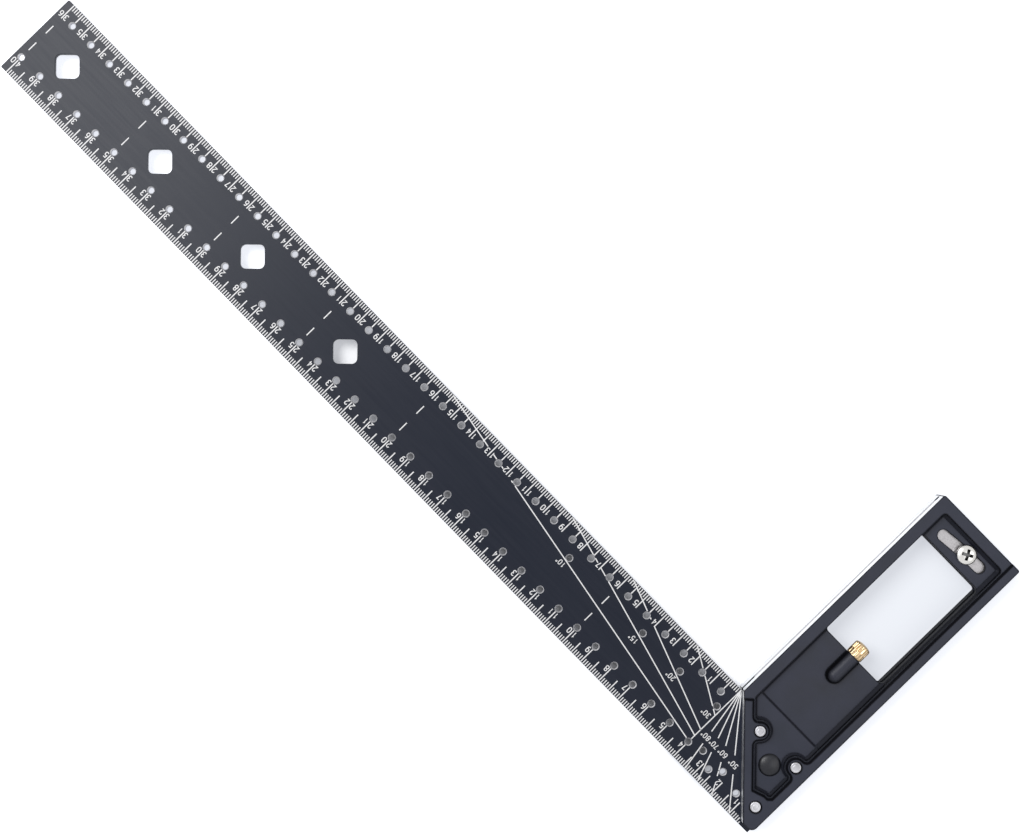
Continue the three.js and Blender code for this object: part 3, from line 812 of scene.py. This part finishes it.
def tick_of(mark, half_length, centimetre_length):
    """Length and width of the tick at a millimetre mark."""
    if mark % centimetre == 0:
        return centimetre_length, long_tick_width
    if mark % (centimetre // 2) == 0:
        return half_length, long_tick_width
    return tick_length, tick_width


def scale_numbers():
    """Centimetre numbers of both scales, one figure beside its tick or two across it."""
    marks = Ink(1)
    outer = 0, last_outer_mark, outer_number_depth
    inner = stock_width, last_inner_mark, blade_width - inner_number_height
    for zero, last, depth in (outer, inner):
        for number in range(1, last // centimetre + 1):
            shifts = (single_digit_shift,) if number < 10 else (tens_shift, units_shift)
            centre = (zero + number * centimetre, depth)
            marks.number(number, centre, shifts, number_height, number_stroke)
    marks.finished("blade_print_numbers")


# Angle, where its line starts in from the inner edge, gaps along it, and the place of its label
small_angles = [
    (10, 27.7, [(117, 122.3), (128.7, 132.2)], (81.4, 15.3)),
    (15, 24.6, [(70.2, 72)], (41.7, 15.8)),
    (20, 21.4, [(40.2, 42.7)], (21.8, 15.5)),
    (30, 13.9, [], (2.5, 15.8)),
]
label_gap = (19, 24.5)
# Angle, its label's place along the blade, and the gaps of its line in from the inner edge
large_angles = [
    (80, 36.4, [label_gap]),
    (70, 32, [label_gap]),
    (60, 27.3, [label_gap, (29.2, 32)]),
    (50, 21.6, [label_gap]),
]
large_label_height = 21.8


def angle_lines():
    """The square line, the fans of angle lines and their labels."""
    marks = Ink(2)
    marks.line((stock_width, blade_edge_ease), (stock_width, blade_width), line_width)
    for angle, rise, gaps, (along, height) in small_angles:
        short = edge_inset(angle)
        run = (rise - short) / math.tan(math.radians(angle))
        start = (stock_width, blade_width - rise)
        end = (stock_width + run, blade_width - short)
        skipped = [(stock_width + low, stock_width + high) for low, high in gaps]
        marks.line(start, end, line_width, skipped)
        write_label(marks, angle, (stock_width + along, blade_width - height))
    for angle, along, gaps in large_angles:
        slope = 1 / math.tan(math.radians(angle))
        starts = [0, *(high for low, high in gaps)]
        ends = [*(low for low, high in gaps), blade_width - edge_inset(angle)]
        for low, high in zip(starts, ends):
            start = (stock_width - low * slope, blade_width - low)
            end = (stock_width - high * slope, blade_width - high)
            marks.line(start, end, line_width)
        write_label(marks, angle, (along, blade_width - large_label_height))
    marks.finished("blade_print_angles")


def edge_inset(angle):
    """How far from the blade's edge a slanted line ends, so that no corner of it hangs over."""
    return blade_edge_ease + line_width / 2 * math.cos(math.radians(angle))


def write_label(marks, angle, centre):
    """An angle in figures with its small degree ring."""
    along, depth = centre
    half = label_pitch / 2
    marks.number(angle, centre, (-half, half), label_height, label_stroke)
    ring = (along + half + label_pitch * degree_shift_share, depth - label_height / 2 + degree_ring / 2)
    loop = arc(ring, (degree_ring - label_stroke) / 2, 0, 360, degree_points)[:-1]
    marks.ribbon(loop, label_stroke * degree_stroke_share, closed=True)


scale_ticks()
scale_numbers()
angle_lines()


# Stock and ledge, softened from their solids

stock_ease = 0.2
ledge_ease = 0.08
ease_angle = 28
flat_angle = 1
weld_length = 0.002
face_slack = 0.1
facing_share = 0.99
slanting_share = 0.69


def softened(node, ease):
    """A copy of a node's mesh with its flat faces joined and its edges rounded."""
    shape = bmesh.new()
    shape.from_mesh(nodes[node].data)
    bmesh.ops.remove_doubles(shape, verts=shape.verts, dist=weld_length * MM)
    bmesh.ops.dissolve_limit(
        shape, angle_limit=math.radians(flat_angle), verts=shape.verts, edges=shape.edges
    )
    holder = shown(node + "_soft", mesh_of(shape, node + "_soft"))
    bevel = holder.modifiers.new("ease", "BEVEL")
    bevel.width = ease * MM
    bevel.segments = 2
    bevel.limit_method = "ANGLE"
    bevel.angle_limit = math.radians(ease_angle)
    result = settled(holder)
    bpy.data.objects.remove(holder)
    return smooth(result, angle=40)


def bare_faces(mesh):
    """The milled faces of the stock take the second material."""
    inner = place(stock_width, 0, 0).x
    mitre = heel.x + heel.y + mitre_start * MM
    slack = face_slack * MM
    for face in mesh.polygons:
        normal, centre = face.normal, face.center
        on_inner = normal.x > facing_share and abs(centre.x - inner) < slack
        slanted = min(normal.x, normal.y) > slanting_share
        on_mitre = slanted and abs(centre.x + centre.y - mitre) < slack
        face.material_index = 1 if on_inner or on_mitre else 0


def make_stock():
    """The painted casting, bare on its milled faces."""
    mesh = softened("stock", stock_ease)
    made = piece("stock_casting", mesh, [paint_black, metal_milled], "square", "stock_paint", "stock")
    bare_faces(mesh)
    flatten(made)


def make_ledge():
    """The steel plate that swings out."""
    mesh = softened("support_ledge", ledge_ease)
    flatten(piece("ledge_plate", mesh, [metal_ledge], "ledge", "ledge_steel", "support_ledge"))


def flatten(made):
    """Large faces keep their own shading beside small rounded ones."""
    weighted = made.modifiers.new("flat", "WEIGHTED_NORMAL")
    weighted.weight = 100
    weighted.keep_sharp = True


make_stock()
make_ledge()


# Rivets, pivot, screw and nut

rivet_points = 48
rivet_edge_fall = 0.04
rivet_ring_width = 0.15
rivet_ring_depth = 0.1
rivet_ring_outer_fall = 0.03
rivet_ring_inner_fall = 0.01


def make_rivet(node, spot):
    """A rivet pressed flush, its end a little crowned, with a fine ring in it."""
    high = stock_thickness - rivet_sink
    crown = rivet_radius - rivet_ease
    profile = [
        (0, rivet_sink),
        (crown, rivet_sink),
        (rivet_radius, rivet_sink + rivet_ease),
        (rivet_radius, high - rivet_ease),
        (crown, high - rivet_edge_fall),
        (rivet_ring + rivet_ring_width, high - rivet_ring_outer_fall),
        (rivet_ring, high - rivet_ring_depth),
        (rivet_ring - rivet_ring_width, high - rivet_ring_inner_fall),
        (0, high),
    ]
    profile = eased(profile, rivet_ring_width)
    look = metals["rivet_metal"], "square", "rivet_metal", node
    turned_piece(node + "_turned", profile, upright(*spot), *look, segments=rivet_points)


def dome(radius, height, rise, steps=10):
    """Points of a dome from its rim to its crown."""
    quarter = arc((0, 0), 1, 0, 90, steps)[:-1]
    return [*((radius * x, height + rise * y) for x, y in quarter), (0, height + rise)]


def cap(radius, low, high, steps=14):
    """Points of a part of a ball from its rim to its crown."""
    rise = high - low
    ball = (radius * radius + rise * rise) / (2 * rise)
    edge = math.degrees(math.asin(radius / ball))
    return [*arc((0, high - ball), ball, 90 - edge, 90, steps)[:-1], (0, high)]


def node_heights(node):
    """Lowest and highest level of a node, in the drawing."""
    low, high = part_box(node)
    return in_drawing(low.z), in_drawing(high.z)


pin_radius = 2.0
pin_head_radius = 4.3
pin_head_rise = 1.5
pin_head_rim = 0.2
pin_head_lean = 0.1
pin_crown_radius = 3.65
pin_crown_rise = 0.8
pin_tip_height = 0.3
pin_groove = 1.7
groove_room = 0.1
washer_radius = 4.2
ring_radius = 3.6
ring_gap = 0.05
running_gap = 0.15
small_ease = 0.12


def make_pivot():
    """Domed pin, its washer and its retaining ring."""
    low, high = node_heights("ledge_pivot_pin")
    ring_low, ring_high = node_heights("pivot_retaining_ring")
    rim = high - pin_head_rise
    shank = [
        (0, low),
        (pin_groove, low),
        (pin_radius, low + pin_tip_height),
        (pin_radius, ring_low - groove_room),
        (pin_groove, ring_low - groove_room),
        (pin_groove, ring_high + ring_gap),
        (pin_radius, ring_high + ring_gap),
        (pin_radius, rim),
        (pin_head_radius, rim),
        (pin_head_radius - pin_head_lean, rim + pin_head_rim),
    ]
    head = cap(pin_crown_radius, high - pin_crown_rise, high)
    pin = eased([*shank, head[0]], small_ease) + head[1:]
    washer = flat_ring(node_heights("pivot_washer"), pin_radius + running_gap, washer_radius)
    ring = flat_ring((ring_low, ring_high), pin_groove + ring_gap, ring_radius)
    for name, profile, node in (
        ("pin", pin, "ledge_pivot_pin"),
        ("washer", washer, "pivot_washer"),
        ("ring", ring, "pivot_retaining_ring"),
    ):
        look = metal_black, "square", name + "_black", node
        turned_piece(f"pivot_{name}_turned", profile, upright(*pivot_spot), *look)


def flat_ring(levels, inner, outer):
    """The closed profile of a ring or sleeve with eased edges."""
    low, high = levels
    middle = (low + high) / 2
    profile = [(inner, middle), (inner, low), (outer, low), (outer, high), (inner, high), (inner, middle)]
    return eased(profile, small_ease)


screw_radius = 2.0
screw_thread_depth = 0.22
screw_pitch = 0.7
screw_neck = 1
screw_tip_radius = 1.65
screw_tip_height = 0.3
screw_head_radius = 3.8
screw_head_rise = 2.2
screw_head_rim = 0.9
screw_rim_ease = 0.15
recess_width = 5.2
recess_thickness = 1.25
recess_depth = 1.7
recess_over = 0.5
recess_skin = 0.1
recess_turn = math.radians(29)
recess_floor_share = 0.5
recess_taper_share = 0.4
nut_radius = 3.5
nut_height = 2.6
nut_collar_radius = 2.8
nut_ease = 0.2


def make_screw():
    """Pan-head screw with a cross recess, and ridges for its thread."""
    low, high = node_heights("ledge_screw")
    seat = high - screw_head_rise
    shank = [(0, low), (screw_tip_radius, low)]
    level = low + screw_tip_height
    while level + screw_pitch < seat - screw_neck:
        shank.append((screw_radius - screw_thread_depth, level))
        shank.append((screw_radius, level + screw_pitch / 2))
        level += screw_pitch
    shank.append((screw_radius, level))
    head = dome(screw_head_radius, seat + screw_head_rim, screw_head_rise - screw_head_rim, steps=12)
    rim = eased([(screw_radius, seat), (screw_head_radius, seat), head[0]], screw_rim_ease)
    mesh = turned_mesh("screw", shank + rim + head[1:], upright(*screw_spot))
    mesh = with_recess(mesh, high)
    looks = [metals["screw_metal"], metals["recess_painted_shade"]]
    piece("ledge_screw_turned", mesh, looks, "screw", "screw_steel", "ledge_screw")
    recess_faces(mesh, seat)


def recess_faces(mesh, seat):
    """The faces inside the cross take the second material, a dark metal that paints their shade."""
    middle = place(*screw_spot, 0)
    for face in mesh.polygons:
        away = in_drawing((face.center.xy - middle.xy).length)
        fall = 1 - min(1, away / screw_head_radius) ** 2
        crown = seat + screw_head_rim + (screw_head_rise - screw_head_rim) * math.sqrt(fall)
        sunk = crown - in_drawing(face.center.z)
        inside = away < recess_width / 2 and recess_skin < sunk < recess_depth + recess_skin
        face.material_index = 1 if inside else 0


def with_recess(mesh, crown):
    """The screw's mesh with a tapered cross cut into its head."""
    body = shown("screw_body", mesh)
    cutter = shown("recess", recess_mesh(crown))
    cut = body.modifiers.new("recess", "BOOLEAN")
    cut.object = cutter
    cut.operation = "DIFFERENCE"
    cut.solver = "EXACT"
    cut.use_self = True
    result = settled(body)
    for held in (body, cutter):
        bpy.data.objects.remove(held)
    return smooth(result)


def recess_mesh(crown):
    """Two crossed wedges, narrower at the bottom."""
    shape = bmesh.new()
    for turn in (recess_turn, recess_turn + math.pi / 2):
        spin = Matrix.Rotation(turn, 4, "Z")
        corners = []
        for level, share in ((crown - recess_depth, recess_floor_share), (crown + recess_over, 1)):
            half_long = recess_width / 2 * share
            half_short = recess_thickness / 2 * (1 - recess_taper_share * (1 - share))
            for x, y in ((-1, -1), (1, -1), (1, 1), (-1, 1)):
                point = spin @ Vector((x * half_long, y * half_short, 0))
                spot = place(*screw_spot, level) + point * MM
                corners.append(shape.verts.new(spot))
        for i in range(4):
            j = (i + 1) % 4
            shape.faces.new((corners[i], corners[j], corners[j + 4], corners[i + 4]))
        shape.faces.new(corners[3::-1])
        shape.faces.new(corners[4:])
    bmesh.ops.recalc_face_normals(shape, faces=shape.faces)
    return mesh_of(shape, "recess")


def make_nut():
    """Round press nut with its collar in the ledge."""
    low, high = node_heights("ledge_press_nut")
    shoulder = low + nut_height
    middle = (low + high) / 2
    bore = screw_radius + running_gap
    profile = [
        (bore, middle),
        (bore, low),
        (nut_radius, low),
        (nut_radius, shoulder),
        (nut_collar_radius, shoulder),
        (nut_collar_radius, high),
        (bore, high),
        (bore, middle),
    ]
    look = metals["nut_metal"], "ledge", "nut_steel", "ledge_press_nut"
    turned_piece("ledge_nut_turned", eased(profile, nut_ease), upright(*screw_spot), *look)


for rivet, spot in rivet_spots.items():
    make_rivet(rivet, spot)
make_pivot()
make_screw()
make_nut()


# Scriber

head_radius = 3.35
head_core = 3.15
head_ring = 3.3
head_length = 6.1
head_crown = 1.0
head_gap = 0.1
band_start = 0.4
band_length = 2.1
band_gap = 0.1
band_step = 0.15
flute_depth = 0.4
flute_count = 18
flute_points = 8
flute_shift_share = 0.8
socket_mouth_radius = 0.75
socket_radius = 0.7
socket_depth = 5
needle_radius = 0.55
needle_seat = 4.9
needle_taper_start = 7.4
needle_taper_end = 11.2
needle_end = 11.4
needle_point_radius = 0.12
needle_ease = 0.1
sleeve_bore = 0.7
sleeve_radius = 1.1
sleeve_start = 0.1
sleeve_end = 7.5
slim_points = 32
scriber_height = in_drawing((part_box("scriber_head")[0].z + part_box("scriber_head")[1].z) / 2)


def along_stock():
    """The matrix of a piece turned about the scriber's axis, heights running to the blade."""
    lay = Matrix.Rotation(math.radians(-90), 4, "X")
    return Matrix.Translation(place(scriber_along, window_start, scriber_height)) @ lay


def fluted(radius, height, angle):
    """The radius of the head at a point: flutes on its two bands, which slant across the first."""
    if radius < head_radius:
        return radius
    shift = math.pi * flute_shift_share if height < -band_length - band_gap else 0
    wave = (1 - math.cos(flute_count * angle + shift)) / 2
    return radius - flute_depth * wave ** 2


def make_scriber():
    """Brass head with two fluted bands, steel needle and brass sleeve."""
    first = -band_start
    second = first - band_length - band_gap
    crown = dome(head_ring, head_length - head_crown, head_crown)
    head = [
        *((radius, -height) for radius, height in reversed(crown)),
        (head_radius, second - band_length),
        (head_radius, second),
        (head_ring, second + band_gap / 3),
        (head_ring, second + band_gap * 2 / 3),
        (head_radius, first - band_length),
        (head_radius, first),
        (head_core, first + band_step),
        (head_core, -head_gap),
        (socket_mouth_radius, -head_gap),
        (socket_radius, -needle_seat),
        (0, -socket_depth),
    ]
    needle = [
        (0, -needle_seat),
        (needle_radius, -needle_seat),
        (needle_radius, needle_taper_start),
        (needle_point_radius, needle_taper_end),
        (0, needle_end),
    ]
    needle = eased(needle, needle_ease)
    sleeve = flat_ring((sleeve_start, sleeve_end), sleeve_bore, sleeve_radius)
    look = metals["brass"], "scriber", "scriber_brass", "scriber_head"
    turning = {"segments": flute_count * flute_points, "flutes": fluted}
    turned_piece("scriber_head_fluted", head, along_stock(), *look, **turning)
    look = metals["needle_metal"], "scriber", "needle_steel", "scriber_needle"
    turned_piece("scriber_needle_turned", needle, along_stock(), *look, segments=slim_points)
    look = metals["brass"], "square", "sleeve_brass", "scriber_sleeve"
    turned_piece("scriber_sleeve_turned", sleeve, along_stock(), *look, segments=slim_points)


make_scriber()


# Studio

floor_reach = 3
floor_gap = 0.05
soft_light = 0.4
# Place and aim in metres, width, and power in watts
lamps = {
    "key_light": ((0.6, 0.12, 0.95), (0.1, 0, 0), 0.6, 9.5),
    "fill_light": ((-0.6, -0.3, 0.95), (-0.1, 0, 0), 0.7, 1.6),
}


def make_floor():
    """A wide floor, a hair below the square."""
    shape = bmesh.new()
    bmesh.ops.create_grid(shape, x_segments=1, y_segments=1, size=floor_reach)
    floor = shown("floor", mesh_of(shape, "floor"))
    floor.data.materials.append(floor_finish())
    floor.location.z = -floor_gap * MM


def make_world():
    """Soft light from all round, with a white background for the camera and reflections."""
    world = bpy.data.worlds.new("studio")
    bpy.context.scene.world = world
    world.use_nodes = True
    tree = world.node_tree
    soft = tree.nodes["Background"]
    white = tree.nodes.new("ShaderNodeBackground")
    for light, strength in ((soft, soft_light), (white, 1)):
        feed(light, {"Color": (1, 1, 1, 1), "Strength": strength})
    both = seen_instead(tree, seen_rays(tree), soft, white)
    feed(tree.nodes["World Output"], {"Surface": both})


def make_lamp(name, spot, target, size, power):
    """A square soft light that faces a point."""
    data = bpy.data.lights.new(name, "AREA")
    data.shape = "SQUARE"
    data.size = size
    data.energy = power
    lamp = shown(name, data)
    lamp.location = spot
    lamp.rotation_euler = (Vector(target) - Vector(spot)).to_track_quat("-Z", "Y").to_euler()


def make_camera():
    """The camera, looking straight down."""
    data = bpy.data.cameras.new("photo_camera")
    data.sensor_width = camera_sensor
    data.lens = camera_lens
    camera = shown("photo_camera", data)
    camera.location = camera_place
    camera.rotation_euler = (0, 0, camera_turn)
    bpy.context.scene.camera = camera


make_floor()
make_world()
for name, settings in lamps.items():
    make_lamp(name, *settings)
make_camera()
bpy.context.scene.view_settings.view_transform = "Standard"
